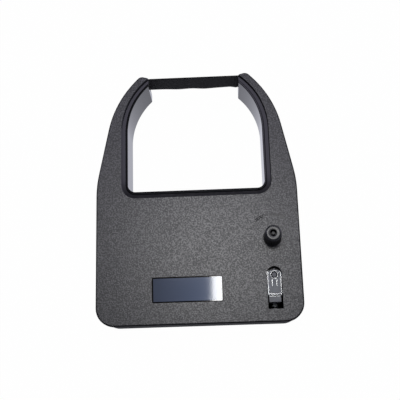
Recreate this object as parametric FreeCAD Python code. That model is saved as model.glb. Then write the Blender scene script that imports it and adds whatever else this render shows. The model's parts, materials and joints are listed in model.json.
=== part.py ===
import FreeCAD, Part
import math
import os

# Printer ribbon cartridge: an endless inked ribbon folded into a flat plastic case.
# Millimetres, +Z up. It lies flat with its cover on top and its two arms pointing along +Y.
# Everything is drawn with the rear edge at y = 0 and the underside at z = 0, and the last
# step moves the whole part back by half its length, so the origin is under its middle.

# Case outline, seen from above. Each corner has its own rounding. side_width is the width of an
# arm at its root, and shoulder_angle is how far its outer side leans inwards behind the tip.
body_width = 94.0
side_width = 14.9
rear_corner_radius = 8.6
waist_reach = 3.74
waist_radius = 53.0
shoulder_angle = 43.415
shoulder_length = 13.18
shoulder_radius = 50.0
tip_width = 3.96
tip_radius = 3.0
arm_end_drop = 1.06
arm_end_radius = 0.8

# Print window between the arms: straight sides under a round arch that is open in front, where
# each arm reaches inwards and ends in a short straight side.
window_depth = 58.61
window_corner_radius = 3.5
arm_end_reach = 10.1
arm_end_side = 4.375
front_reach = 12.0

# Heights and walls of the case.
cover_thickness = 2.2
floor_thickness = 1.5
wall_thickness = 1.6
base_inset = 0.9
window_wall = 1.1
window_wall_drop = 0.3
window_wall_bevel = 0.25
base_edge_radius = 0.5
tip_inset = 0.15
tip_open_length = 5.0
ledge_width = 2.95
ledge_drop = 1.2
ledge_bevel = 0.25
cover_edge_radius = 0.7
part_gap = 0.1
floor_skin = 0.5
collar_wall = 1.2
collar_gap = 0.2
running_fit = 0.06
press_fit_gap = 0.02
moving_gap = 0.3
max_rounding_share = 0.98

# Ribbon: 13 mm wide inked cloth standing on edge. Its folds keep a gap to the walls around them.
ribbon_height = 13.0
ribbon_thickness = 0.3
ribbon_foot_gap = 0.4
ribbon_head_gap = 0.4
ribbon_front_drop = 0.61
fold_pitch = 2.0
fold_rear_gap = 4.1
fold_front_gap = 8.1
fold_left_gap = 6.0
fold_right_gap = 4.9
fold_unevenness = 1.1
ribbon_entry_radius = 1.5

# Drive roller and idler: gears low on each wheel, rubber tyres that nip the ribbon above them.
gear_module = 0.9
drive_teeth = 20
idler_teeth = 18
gear_foot_gap = 0.5
gear_face = 2.0
pressure_angle = 20.0
gear_backlash = 0.16
gear_addendum = 0.81
gear_dedendum = 1.08
drive_side_gap = 1.3
drive_front_space = 24.0
hub_radius = 4.0
hub_drop = 0.3
drive_shaft_radius = 2.0
drive_tip_gap = 0.55
drive_tip_drop = 0.5
drive_tip_chamfer = 0.25
drive_flat_distance = 1.4
tyre_wall = 1.35
tyre_flute_count = 48
tyre_flute_radius = 0.22
tyre_flute_offset = 0.09
socket_radius = 2.4
socket_depth = 9.0
socket_key_count = 4
socket_key_radius = 0.4

# Knob on top of the drive shaft.
knob_radius = 4.2
knob_taper = 0.48
knob_bevel_width = 0.77
knob_hole_radius = 1.45
knob_height = 9.3
knob_bevel = 0.6
knob_flute_count = 24
knob_flute_radius = 0.32
knob_flute_end = 1.5
knob_cap = 2.9
washer_thickness = 0.25
washer_radius = 3.3

# Idler carrier: a clear slide in the slot of the cover, pushed towards the drive by a spring.
idler_pin_radius = 1.5
idler_pin_recess = 0.3
idler_boss_wall = 0.45
slot_width = 6.8
slot_front_gap = 1.7
slide_travel = 3.0
slide_side_gap = 0.25
slide_front_reach = 2.1
slide_chamfer = 1.5
slide_tab_length = 3.0
slide_rear_reach = 12.2
slide_top_drop = 0.7
slide_tab_drop = 2.0
slide_tab_width = 5.4
slide_flange_width = 9.6
slide_flange_thickness = 0.8
slide_rib_spacing = 2.0
slide_rib_width = 0.55
slide_rib_height = 0.35
slide_rib_gap = 0.15
slide_rib_length = 3.3
slide_leg_width = 5.0
slide_leg_height = 8.4
slide_nib_width = 0.5
slide_nib_length = 0.7
slide_nib_drop = 0.3

# Spring behind the carrier, and the pegs that it sits on.
spring_drop = 5.2
spring_radius = 1.65
spring_wire = 0.35
spring_turns = 5.5
peg_radius = 1.1
wall_peg_length = 1.9
slide_peg_length = 1.3
peg_end_gap = 0.4
peg_root = 0.5

# Guide roller at the way out of the chamber, and the steel pins at the arm tips.
guide_side_gap = 4.5
guide_front_gap = 2.4
guide_radius = 2.5
guide_flange_radius = 3.3
guide_flange = 1.4
guide_foot_gap = 0.2
guide_pin_radius = 1.0
tip_pin_inset = 2.9
tip_pin_radius = 0.9
pin_socket_depth = 1.0
pin_boss_wall = 0.8
pin_boss_height = 0.9

# Ribs on the back of the window wall that the ribbon slides over, in degrees from the side.
arch_rib_angles = (22.0, 15.5, 9.0)
arch_rib_radius = 0.7
arch_rib_stand = 1.0

# Ribbon brake in the left arm: a steel leaf with a felt pad against a post. The distances are
# measured from the middle of the ribbon, and the brake stands in front of the guide roller.
brake_pad_reach = 17.0
brake_pad_length = 5.0
brake_pad_thickness = 1.3
brake_pad_edge = 1.5
brake_leaf_thickness = 0.2
brake_leaf_edge = 2.0
brake_leaf_end = 1.0
brake_grip_reach = 8.0
brake_grip_length = 4.6
brake_grip_distance = 2.2
brake_grip_wall = 0.8
brake_grip_root = 4.1
brake_post_length = 1.2

# Wall between the chamber and the drive space, and the stripper that stands in its gap.
partition_gap = 1.6
partition_thickness = 1.2
stripper_length = 6.4
stripper_reach = 4.9
stripper_fin = 1.4
stripper_slit = 1.6
stripper_fin_end = 0.4
stripper_slit_margin = 0.15

# Pegs of the cover and the sockets in the base that they press into: two in the rear corners,
# three along the window and one in front of the drive.
corner_peg_inset = 5.8
corner_peg_y = 6.2
front_peg_gap = 4.0
guide_peg_gap = 13.0
partition_peg_gap = 7.4
drive_peg_gap = 5.4
drive_peg_shift = 1.0
cover_peg_radius = 1.1
cover_peg_length = 5.0
socket_wall = 0.8

# Shallow round marks that the mould's ejector pins leave on the underside.
ejector_side = 9.0
ejector_rear = 12.0
ejector_front = 12.4
ejector_corner = 4.4
ejector_radius = 2.2
ejector_depth = 0.15

# Label and the turning arrow around the knob.
label_left = -21.1
label_rear = 10.25
label_length = 31.6
label_width = 11.1
label_thickness = 0.12
label_corner = 0.5
label_recess_depth = 0.2
label_recess_margin = 0.3
arrow_radius = 10.9
arrow_width = 1.0
arrow_depth = 0.25
arrow_start = 132.0
arrow_end = 50.0
arrow_head_angle = 16.0
arrow_head_width = 2.6
arrow_tail_gap = 0.35

# Heights that follow from the ones above, from the floor up.
gear_bottom = floor_thickness + gear_foot_gap
gear_top = gear_bottom + gear_face
ribbon_bottom = gear_top + ribbon_foot_gap
ribbon_top = ribbon_bottom + ribbon_height
cover_bottom = ribbon_top + ribbon_head_gap
case_height = cover_bottom + cover_thickness
spring_z = cover_bottom - spring_drop

# Places along the drive, from the rear wall: spring, slide, idler, drive roller, window.
half_width = body_width / 2.0
wall_inner = base_inset + wall_thickness
drive_pitch_radius = gear_module * drive_teeth / 2.0
idler_pitch_radius = gear_module * idler_teeth / 2.0
drive_x = half_width - wall_inner - drive_side_gap - drive_pitch_radius
slide_rear_y = wall_inner + wall_peg_length + slide_peg_length + peg_end_gap + slide_travel
slide_step_y = slide_rear_y + slide_tab_length
idler_x = drive_x
idler_y = slide_rear_y + slide_rear_reach
slide_front_y = idler_y + slide_front_reach
slide_width = slot_width - 2.0 * slide_side_gap
idler_boss_radius = idler_pin_radius + idler_boss_wall
slot_mid_x = drive_x
slot_rear_y = slide_rear_y - slide_travel - moving_gap
slot_front_y = slide_front_y + slot_front_gap
drive_y = idler_y + idler_pitch_radius + drive_pitch_radius
nip_y = drive_y - drive_pitch_radius
nip_half_gap = ribbon_thickness / 2.0 + moving_gap
drive_tyre_radius = drive_pitch_radius - nip_half_gap
idler_tyre_radius = idler_pitch_radius - nip_half_gap
stripper_rear_y = nip_y - stripper_length / 2.0
stripper_front_y = nip_y + stripper_length / 2.0
partition_x = drive_x - drive_pitch_radius - partition_gap - partition_thickness
window_rear_y = drive_y + drive_front_space

# Places of the outline and the window.
window_half_width = half_width - side_width
arm_end_x = window_half_width - arm_end_reach
tip_x = arm_end_x + tip_width
tip_y = window_rear_y + window_depth
arm_end_y = tip_y - arm_end_drop
arch_end_y = arm_end_y - arm_end_side
arch_y = arch_end_y - math.sqrt(window_half_width**2 - arm_end_x**2)
shoulder_x = tip_x + shoulder_length * math.tan(math.radians(shoulder_angle))
shoulder_y = tip_y - shoulder_length
waist_y = window_rear_y + waist_reach

# Places along the ribbon.
fold_rear_y = wall_inner + fold_rear_gap
fold_front_y = window_rear_y - window_wall - fold_front_gap
fold_right_x = partition_x - fold_right_gap
fold_room = fold_right_x + half_width - wall_inner - fold_left_gap
fold_count = 2 * math.floor(fold_room / fold_pitch / 2.0 + 1e-6)
guide_x = wall_inner + guide_side_gap - half_width
guide_y = window_rear_y - guide_front_gap
brake_pad_y = guide_y + brake_pad_reach
brake_grip_rear_y = brake_pad_y + brake_grip_reach
brake_grip_front_y = brake_grip_rear_y + brake_grip_length
brake_pad_height = ribbon_height - 2.0 * brake_pad_edge
brake_leaf_height = ribbon_height - 2.0 * brake_leaf_edge
tip_pin_x = arm_end_x + tip_pin_inset
tip_pin_path = tip_pin_radius + part_gap + ribbon_thickness / 2.0
ribbon_front_y = tip_y - ribbon_front_drop
tip_pin_y = ribbon_front_y - tip_pin_path
arch_rib_centre = window_half_width + window_wall + arch_rib_stand - arch_rib_radius
arch_path = window_half_width + window_wall + arch_rib_stand + part_gap + ribbon_thickness / 2.0
guide_path = guide_radius + moving_gap + ribbon_thickness / 2.0

# Places of the pegs and of the marks on the underside.
peg_places = (
    (corner_peg_inset - half_width, corner_peg_y),
    (half_width - corner_peg_inset, corner_peg_y),
    (guide_x + guide_peg_gap, window_rear_y - front_peg_gap),
    (0.0, window_rear_y - front_peg_gap),
    (partition_x - partition_peg_gap, window_rear_y - front_peg_gap),
    (drive_x + drive_peg_shift, window_rear_y - drive_peg_gap),
)
ejector_places = (
    (ejector_side - half_width, ejector_rear),
    (ejector_side - half_width, window_rear_y - ejector_front),
    (0.0, ejector_rear),
    (0.0, window_rear_y - ejector_front),
    (half_width - ejector_side, window_rear_y - ejector_corner),
)


def point(x, y, z=0.0):
    return FreeCAD.Vector(x, y, z)


def polar(centre_x, centre_y, radius, degrees):
    angle = math.radians(degrees)
    return point(centre_x + radius * math.cos(angle), centre_y + radius * math.sin(angle))


def cylinder(radius, bottom, top, x=0.0, y=0.0):
    return Part.makeCylinder(radius, top - bottom, point(x, y, bottom))


def tube(outer, inner, bottom, top, x=0.0, y=0.0):
    return cylinder(outer, bottom, top, x, y).cut(cylinder(inner, bottom, top, x, y))


def block(left, right, rear, front, bottom, top):
    return Part.makeBox(right - left, front - rear, top - bottom, point(left, rear, bottom))


def raised(face, bottom, top):
    solid = face.extrude(point(0.0, 0.0, top - bottom))
    solid.translate(point(0.0, 0.0, bottom))
    return solid


def line(start, end):
    return Part.LineSegment(start, end).toShape()


def arc(start, middle, end):
    return Part.Arc(start, middle, end).toShape()


def polygon(points):
    return Part.Face(Part.makePolygon(list(points) + [points[0]]))


def corner_reaches(places, radii):
    """How much of its two sides each rounding takes up, less where a side is too short."""
    count = len(places)
    reaches = []
    for i in range(count):
        back = places[i - 1].sub(places[i])
        ahead = places[(i + 1) % count].sub(places[i])
        reaches.append(radii[i] / math.tan(back.getAngle(ahead) / 2.0))
    wanted = list(reaches)
    for i in range(count):
        after = (i + 1) % count
        room = max_rounding_share * places[i].distanceToPoint(places[after])
        share = min(1.0, room / max(room, wanted[i] + wanted[after]))
        reaches[i] = min(reaches[i], share * wanted[i])
        reaches[after] = min(reaches[after], share * wanted[after])
    return reaches


def rounded_face(corners):
    """A face whose corners are (x, y, rounding radius)."""
    edges = []
    ends = []
    count = len(corners)
    places = [point(x, y) for x, y, radius in corners]
    reaches = corner_reaches(places, [radius for x, y, radius in corners])
    for i in range(count):
        here = places[i]
        reach = reaches[i]
        back = places[i - 1].sub(here)
        ahead = places[(i + 1) % count].sub(here)
        back.normalize()
        ahead.normalize()
        if reach <= 0.0:
            ends.append((here, here))
            continue
        half = back.getAngle(ahead) / 2.0
        radius = reach * math.tan(half)
        bisector = back.add(ahead)
        bisector.normalize()
        start = here.add(back * reach)
        end = here.add(ahead * reach)
        middle = here.add(bisector * (radius / math.sin(half) - radius))
        ends.append((start, end))
        edges.append(arc(start, middle, end))
    for i in range(count):
        leave = ends[i][1]
        arrive = ends[(i + 1) % count][0]
        if leave.distanceToPoint(arrive) > 1e-6:
            edges.append(line(leave, arrive))
    return Part.Face(Part.Wire(Part.__sortEdges__(edges)))


def outline_face():
    """The whole cover seen from above, with the window not yet cut."""
    right = [
        (half_width, 0.0, rear_corner_radius),
        (half_width, waist_y, waist_radius),
        (shoulder_x, shoulder_y, shoulder_radius),
        (tip_x, tip_y, tip_radius),
        (arm_end_x, arm_end_y, arm_end_radius),
        (arm_end_x, arch_y, 0.0),
    ]
    left = [(-x, y, radius) for x, y, radius in reversed(right)]
    return rounded_face(right + left)


def inset_face(inset):
    """The cover's outline moved inwards by inset."""
    return outline_face().makeOffset2D(-inset)


def window_face(margin):
    """The window seen from above, grown by margin at its walls."""
    side_x = window_half_width + margin
    rear_y = window_rear_y - margin
    corner = window_corner_radius + margin
    end_angle = math.degrees(math.acos(arm_end_x / side_x))
    arch_end = polar(0.0, arch_y, side_x, end_angle)
    arch_middle = polar(0.0, arch_y, side_x, end_angle / 2.0)
    corner_middle = polar(side_x - corner, rear_y + corner, corner, -45.0)
    front_y = tip_y + front_reach

    def flip(p):
        return point(-p.x, p.y)

    edges = []
    for side in (lambda p: p, flip):
        edges.append(line(side(point(arm_end_x, front_y)), side(arch_end)))
        edges.append(arc(side(arch_end), side(arch_middle), side(point(side_x, arch_y))))
        edges.append(line(side(point(side_x, arch_y)), side(point(side_x, rear_y + corner))))
        edges.append(
            arc(
                side(point(side_x, rear_y + corner)),
                side(corner_middle),
                side(point(side_x - corner, rear_y)),
            )
        )
    edges.append(line(point(side_x - corner, rear_y), point(corner - side_x, rear_y)))
    edges.append(line(point(-arm_end_x, front_y), point(arm_end_x, front_y)))
    return Part.Face(Part.Wire(Part.__sortEdges__(edges)))


def window_cut(margin, bottom, top):
    return raised(window_face(margin), bottom, top)


def belt_wire(circles, shift):
    """A closed line around circles (x, y, radius, turn), where turn is 1 to the left and -1 to
    the right, moved sideways by shift."""
    count = len(circles)
    leaves = []
    arrives = []
    for i in range(count):
        x1, y1, radius1, turn1 = circles[i]
        x2, y2, radius2, turn2 = circles[(i + 1) % count]
        reach1 = turn1 * radius1 - shift
        reach2 = turn2 * radius2 - shift
        distance = math.hypot(x2 - x1, y2 - y1)
        heading = math.atan2(y2 - y1, x2 - x1) - math.asin((reach2 - reach1) / distance)
        side = point(-math.sin(heading), math.cos(heading))
        leaves.append(point(x1, y1).sub(side * reach1))
        arrives.append(point(x2, y2).sub(side * reach2))
    edges = []
    for i in range(count):
        x, y, radius, turn = circles[i]
        start = arrives[i - 1]
        end = leaves[i]
        first = math.atan2(start.y - y, start.x - x)
        sweep = (math.atan2(end.y - y, end.x - x) - first) * turn % (2.0 * math.pi) * turn
        middle = polar(x, y, start.distanceToPoint(point(x, y)), math.degrees(first + sweep / 2.0))
        edges.append(arc(start, middle, end))
        edges.append(line(end, arrives[i]))
    return Part.Wire(edges)


def fold_circles():
    """The turns of the folded ribbon in the chamber, from right to left."""
    circles = []
    radius = fold_pitch / 2.0
    for k in range(fold_count):
        x = fold_right_x - (k + 0.5) * fold_pitch
        uneven = fold_unevenness * math.sin(2.4 * k)
        if k % 2 == 0:
            circles.append((x, fold_front_y - radius + uneven, radius, 1))
        else:
            circles.append((x, fold_rear_y + radius - uneven, radius, -1))
    return circles


def make_ribbon():
    circles = [
        (-tip_pin_x, tip_pin_y, tip_pin_path, -1),
        (tip_pin_x, tip_pin_y, tip_pin_path, -1),
        (0.0, arch_y, arch_path, -1),
        (drive_x, drive_y, drive_pitch_radius, -1),
        (fold_right_x + ribbon_entry_radius, nip_y + ribbon_entry_radius, ribbon_entry_radius, -1),
    ]
    circles += fold_circles()
    circles += [
        (guide_x, guide_y, guide_path, -1),
        (0.0, arch_y, arch_path, -1),
    ]
    one = Part.Face(belt_wire(circles, ribbon_thickness / 2.0))
    other = Part.Face(belt_wire(circles, -ribbon_thickness / 2.0))
    outer = one if one.Area > other.Area else other
    inner = other if one.Area > other.Area else one
    return raised(outer.cut(inner), ribbon_bottom, ribbon_top)


def beside_ribbon(y, distance):
    """The point level with y that stands outside the ribbon of the left arm by a distance."""
    span = math.hypot(guide_x, arch_y - guide_y)
    heading = math.atan2(arch_y - guide_y, -guide_x) + math.asin((arch_path - guide_path) / span)
    start_x = guide_x - guide_path * math.sin(heading)
    start_y = guide_y + guide_path * math.cos(heading)
    return point(start_x + (y - start_y) / math.tan(heading) - distance / math.sin(heading), y)


def cover_pegs():
    pegs = []
    for x, y in peg_places:
        pegs.append(cylinder(cover_peg_radius, cover_bottom - cover_peg_length, cover_bottom, x, y))
    return pegs


def peg_sockets():
    """Round posts on the floor that take the pegs of the cover."""
    posts = []
    outer = cover_peg_radius + press_fit_gap + socket_wall
    for x, y in peg_places:
        post = cylinder(outer, floor_thickness, cover_bottom, x, y)
        hole_bottom = cover_bottom - cover_peg_length - moving_gap
        hole = cylinder(cover_peg_radius + press_fit_gap, hole_bottom, cover_bottom, x, y)
        posts.append(post.cut(hole))
    return posts


def slot_outline(width, rear_y, front_y, bottom, top):
    """A slot with a square rear end and a round front end."""
    radius = width / 2.0
    left = slot_mid_x - radius
    right = slot_mid_x + radius
    solid = block(left, right, rear_y, front_y - radius, bottom, top)
    return solid.fuse(cylinder(radius, bottom, top, slot_mid_x, front_y - radius))


def arrow_band(inner, outer, start, end):
    """A part of a ring around the knob, from start to end in degrees."""
    middle = (start + end) / 2.0
    corners = [polar(drive_x, drive_y, r, a) for r in (inner, outer) for a in (start, middle, end)]
    edges = [
        arc(corners[0], corners[1], corners[2]),
        line(corners[2], corners[5]),
        arc(corners[5], corners[4], corners[3]),
        line(corners[3], corners[0]),
    ]
    return Part.Face(Part.Wire(edges))


def arrow_cut():
    """Plain curved arrow sunk into the cover: two thin lines that end in a point."""
    inner = arrow_radius - arrow_width / 2.0
    outer = arrow_radius + arrow_width / 2.0
    middle = arrow_radius
    low = case_height - arrow_depth
    high = case_height + arrow_depth
    head_start = arrow_end + arrow_head_angle
    bands = [
        arrow_band(inner, middle - arrow_tail_gap / 2.0, arrow_start, head_start),
        arrow_band(middle + arrow_tail_gap / 2.0, outer, arrow_start, head_start),
    ]
    head = polygon(
        [
            polar(drive_x, drive_y, middle - arrow_head_width / 2.0, head_start),
            polar(drive_x, drive_y, middle, arrow_end),
            polar(drive_x, drive_y, middle + arrow_head_width / 2.0, head_start),
        ]
    )
    cuts = [raised(face, low, high) for face in bands + [head]]
    return cuts[0].multiFuse(cuts[1:])


def make_top_cover():
    plate = raised(outline_face(), cover_bottom, case_height)
    upper = [e for e in plate.Edges if e.BoundBox.ZMin > case_height - 1e-6]
    plate = plate.makeFillet(cover_edge_radius, upper)
    plate = plate.cut(window_cut(window_wall + part_gap, cover_bottom - 1.0, case_height + 1.0))
    plate = plate.cut(window_cut(ledge_width, case_height - ledge_drop, case_height + 1.0))
    plate = plate.cut(ledge_bevel_cut())
    plate = plate.multiFuse(cover_pegs())
    slot = slot_outline(slot_width, slot_rear_y, slot_front_y, cover_bottom - 1.0, case_height + 1.0)
    shaft_hole = cylinder(
        drive_shaft_radius + running_fit, cover_bottom - 1.0, case_height + 1.0, drive_x, drive_y
    )
    plate = plate.cut(slot).cut(shaft_hole).cut(arrow_cut()).cut(label_recess())
    for side in (-1.0, 1.0):
        plate = plate.cut(pin_socket(tip_pin_radius, side * tip_pin_x, tip_pin_y, cover_bottom))
    plate = plate.cut(pin_socket(guide_pin_radius, guide_x, guide_y, cover_bottom))
    return plate.removeSplitter()


def ledge_bevel_cut():
    """Flared cutter that bevels the rim of the cover above its ledge."""
    low = window_face(ledge_width)
    low.translate(point(0.0, 0.0, case_height - ledge_bevel))
    high = window_face(ledge_width + 2.0 * ledge_bevel)
    high.translate(point(0.0, 0.0, case_height + ledge_bevel))
    return Part.makeLoft([low.OuterWire, high.OuterWire], True, True)


def pin_socket(radius, x, y, bottom):
    return cylinder(radius + press_fit_gap, bottom - 0.1, bottom + pin_socket_depth, x, y)


def rounded_floor(inset):
    plate = raised(inset_face(inset), 0.0, floor_thickness)
    lower = [e for e in plate.Edges if e.BoundBox.ZMax < floor_thickness / 2.0]
    return plate.makeFillet(base_edge_radius, lower)


def base_walls():
    """Floor, outer wall and window wall, before anything is added or cut inside."""
    floor = rounded_floor(base_inset)
    outer = raised(inset_face(base_inset), floor_thickness, cover_bottom)
    outer = outer.cut(raised(inset_face(wall_inner), floor_thickness, cover_bottom))
    opening_y = tip_pin_y - tip_open_length
    outer = outer.cut(block(-half_width, half_width, opening_y, tip_y, floor_thickness, cover_bottom))
    front_area = block(-half_width, half_width, opening_y, tip_y, 0.0, floor_thickness)
    tips = rounded_floor(tip_inset).common(front_area)
    shell = floor.multiFuse([outer, tips]).cut(window_cut(0.0, -1.0, case_height))
    return shell.fuse(window_rim())


def window_rim():
    """The window wall, with its two long upper edges bevelled."""
    top = case_height - window_wall_drop
    rim = raised(window_face(window_wall), 0.0, top).cut(window_cut(0.0, -1.0, case_height))
    rim = rim.cut(block(-arm_end_x, arm_end_x, arch_y, tip_y + front_reach, 0.0, top))
    upper = [e for e in rim.Edges if e.BoundBox.ZMin > top - 1e-6 and e.Length > 2.0 * window_wall]
    return rim.makeChamfer(window_wall_bevel, upper)


def arm_end_caps():
    """Short walls that close the arms beside the window, behind the ribbon."""
    caps = []
    for side in (-1.0, 1.0):
        near = side * arm_end_x
        far = side * (arm_end_x + window_wall)
        front_y = tip_pin_y - moving_gap
        caps.append(block(min(near, far), max(near, far), arch_end_y, front_y, 0.0, cover_bottom))
    return caps


def arch_ribs():
    ribs = []
    for angle in arch_rib_angles:
        for side in (angle, 180.0 - angle):
            centre = polar(0.0, arch_y, arch_rib_centre, side)
            ribs.append(cylinder(arch_rib_radius, floor_thickness, cover_bottom, centre.x, centre.y))
    return ribs


def partition_walls():
    right = partition_x + partition_thickness
    rear = block(partition_x, right, wall_inner, stripper_rear_y, floor_thickness, cover_bottom)
    front_end = window_rear_y - window_wall
    front = block(partition_x, right, stripper_front_y, front_end, floor_thickness, cover_bottom)
    return [rear, front]


def brake_mounts():
    """Slotted block that grips the brake leaf, and the post that the pad presses against."""
    near = brake_grip_distance - brake_grip_wall
    grip = polygon(
        [
            beside_ribbon(brake_grip_rear_y, near),
            beside_ribbon(brake_grip_front_y, near),
            beside_ribbon(brake_grip_front_y, brake_grip_root),
            beside_ribbon(brake_grip_rear_y, brake_grip_root),
        ]
    )
    post = block(
        beside_ribbon(brake_pad_y, 0.0).x + ribbon_thickness + part_gap,
        -window_half_width - window_wall / 2.0,
        brake_pad_y - brake_post_length / 2.0,
        brake_pad_y + brake_post_length / 2.0,
        floor_thickness,
        cover_bottom,
    )
    return [raised(grip, floor_thickness, ribbon_top), post]


def brake_leaf_line():
    """Points of the leaf as (y, distance from the ribbon), from its gripped end to its free end."""
    pad_front = brake_pad_y + brake_pad_length / 2.0
    pad_rear = brake_pad_y - brake_pad_length / 2.0
    near = ribbon_thickness / 2.0 + part_gap + brake_pad_thickness + brake_leaf_thickness / 2.0
    return [
        (brake_grip_front_y, brake_grip_distance),
        (brake_grip_rear_y, brake_grip_distance),
        (pad_front, near),
        (pad_rear - brake_leaf_end, near),
    ]


def brake_leaf_face(places, half):
    one = [beside_ribbon(y, distance - half) for y, distance in places]
    other = [beside_ribbon(y, distance + half) for y, distance in reversed(places)]
    return polygon(one + other)


def brake_leaf_bottom():
    return ribbon_bottom + brake_leaf_edge


def make_bottom_case():
    solid = base_walls()
    extras = arm_end_caps() + arch_ribs() + partition_walls() + peg_sockets() + brake_mounts()
    collar_top = gear_bottom - collar_gap
    collar = cylinder(hub_radius + collar_wall, floor_thickness, collar_top, drive_x, drive_y)
    peg_start = point(slot_mid_x, wall_inner - peg_root, spring_z)
    spring_peg = Part.makeCylinder(peg_radius, wall_peg_length + peg_root, peg_start, point(0, 1, 0))
    boss = cylinder(
        guide_pin_radius + pin_boss_wall,
        floor_thickness,
        floor_thickness + pin_boss_height,
        guide_x,
        guide_y,
    )
    solid = solid.multiFuse(extras + [collar, spring_peg, boss])
    solid = solid.cut(cylinder(hub_radius + running_fit, -1.0, gear_bottom, drive_x, drive_y))
    solid = solid.cut(idler_floor_slot())
    for x, y in ejector_places:
        solid = solid.cut(cylinder(ejector_radius, -1.0, ejector_depth, x, y))
    for side in (-1.0, 1.0):
        hole_x = side * tip_pin_x
        hole_radius = tip_pin_radius + press_fit_gap
        hole_bottom = floor_thickness - pin_socket_depth
        solid = solid.cut(cylinder(hole_radius, hole_bottom, cover_bottom, hole_x, tip_pin_y))
    guide_hole = cylinder(
        guide_pin_radius + press_fit_gap, guide_pin_bottom(), cover_bottom, guide_x, guide_y
    )
    return solid.cut(guide_hole).cut(leaf_slit()).removeSplitter()


def guide_pin_bottom():
    return floor_thickness + pin_boss_height - 2.0 * pin_socket_depth


def idler_floor_slot():
    """Groove in the floor that guides the foot of the idler pin."""
    radius = idler_pin_radius + running_fit
    front = idler_y
    rear = idler_y - slide_travel
    groove = block(idler_x - radius, idler_x + radius, rear, front, floor_skin, gear_bottom)
    for y in (rear, front):
        groove = groove.fuse(cylinder(radius, floor_skin, gear_bottom, idler_x, y))
    return groove


def leaf_slit():
    """The slit is open at the top and a little longer than the leaf's gripped length."""
    half = brake_leaf_thickness / 2.0 + press_fit_gap
    places = [
        (brake_grip_front_y + part_gap, brake_grip_distance),
        (brake_grip_rear_y - part_gap, brake_grip_distance),
    ]
    return raised(brake_leaf_face(places, half), brake_leaf_bottom(), cover_bottom)


def involute(base_radius, radius):
    """Angle, in radians, by which an involute has turned away at a radius."""
    pressure = math.acos(min(1.0, base_radius / radius))
    return math.tan(pressure) - pressure


def gear_face_outline(teeth, first_angle):
    """Spur gear outline with involute flanks, a tooth centred on first_angle in degrees."""
    pitch_radius = gear_module * teeth / 2.0
    base_radius = pitch_radius * math.cos(math.radians(pressure_angle))
    tip = pitch_radius + gear_addendum
    root = pitch_radius - gear_dedendum
    half_tooth = (math.pi * gear_module / 2.0 - gear_backlash) / (2.0 * pitch_radius)
    half_at_pitch = half_tooth + involute(base_radius, pitch_radius)
    low = max(base_radius, root)
    radii = (low, (low + tip) / 2.0, tip)
    halves = [math.degrees(half_at_pitch - involute(base_radius, r)) for r in radii]
    step = 360.0 / teeth
    edges = []
    for k in range(teeth):
        middle = first_angle + k * step
        rise = [polar(0.0, 0.0, radii[i], middle - halves[i]) for i in range(3)]
        fall = [polar(0.0, 0.0, radii[i], middle + halves[i]) for i in range(3)]
        foot_a = polar(0.0, 0.0, root, middle - halves[0])
        foot_b = polar(0.0, 0.0, root, middle + halves[0])
        next_foot = polar(0.0, 0.0, root, middle + step - halves[0])
        valley = polar(0.0, 0.0, root, middle + step / 2.0)
        edges.append(line(foot_a, rise[0]))
        edges.append(arc(rise[0], rise[1], rise[2]))
        edges.append(arc(rise[2], polar(0.0, 0.0, tip, middle), fall[2]))
        edges.append(arc(fall[2], fall[1], fall[0]))
        edges.append(line(fall[0], foot_b))
        edges.append(arc(foot_b, valley, next_foot))
    return Part.Face(Part.Wire(edges))


def make_gear(teeth, first_angle, x, y):
    gear = raised(gear_face_outline(teeth, first_angle), gear_bottom, gear_top)
    gear.translate(point(x, y))
    return gear


def make_tyre(radius, top, x, y):
    """Rubber sleeve with fine upright flutes."""
    sleeve = tube(radius, radius - tyre_wall, ribbon_bottom, top, x, y)
    flutes = []
    for k in range(tyre_flute_count):
        at = polar(x, y, radius + tyre_flute_offset, 360.0 * k / tyre_flute_count)
        flutes.append(cylinder(tyre_flute_radius, ribbon_bottom - 1.0, top + 1.0, at.x, at.y))
    return sleeve.cut(Part.makeCompound(flutes))


def knob_bottom():
    return case_height + washer_thickness + part_gap


def knob_shaft_top():
    return knob_bottom() + knob_height - knob_cap


def shaft_flat(gap, bottom, top):
    """The side of the shaft that its flat takes away, and of the bore that fits it with a gap."""
    near = drive_x + drive_flat_distance + gap
    reach = 2.0 * drive_shaft_radius
    return block(near, drive_x + reach, drive_y - reach, drive_y + reach, bottom, top)


def make_drive_roller():
    core_radius = drive_tyre_radius - tyre_wall - press_fit_gap
    core_top = cover_bottom - moving_gap
    roller = cylinder(hub_radius, hub_drop, gear_bottom, drive_x, drive_y)
    shaft_top = knob_shaft_top()
    shaft = cylinder(drive_shaft_radius, core_top, shaft_top, drive_x, drive_y)
    shaft = shaft.cut(shaft_flat(0.0, knob_bottom(), shaft_top + 1.0))
    tip_radius = knob_hole_radius - drive_tip_gap
    tip_top = shaft_top + knob_cap - drive_tip_drop
    tip = cylinder(tip_radius, shaft_top, tip_top, drive_x, drive_y)
    tip_edges = [e for e in tip.Edges if e.BoundBox.ZMin > (shaft_top + tip_top) / 2.0]
    tip = tip.makeChamfer(drive_tip_chamfer, tip_edges)
    gear = make_gear(drive_teeth, -90.0, drive_x, drive_y)
    core = cylinder(core_radius, gear_top, core_top, drive_x, drive_y)
    roller = roller.multiFuse([gear, core, shaft, tip])
    return roller.cut(drive_socket()).removeSplitter()


def drive_socket():
    """Splined hole in the underside for the spindle of the printer."""
    socket = cylinder(socket_radius, -1.0, hub_drop + socket_depth, drive_x, drive_y)
    keys = []
    for k in range(socket_key_count):
        at = polar(drive_x, drive_y, socket_radius, 360.0 * k / socket_key_count)
        keys.append(cylinder(socket_key_radius, -1.0, hub_drop + socket_depth, at.x, at.y))
    return socket.multiFuse(keys)


def make_drive_washer():
    inner = drive_shaft_radius + running_fit
    return tube(washer_radius, inner, case_height, case_height + washer_thickness, drive_x, drive_y)


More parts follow.
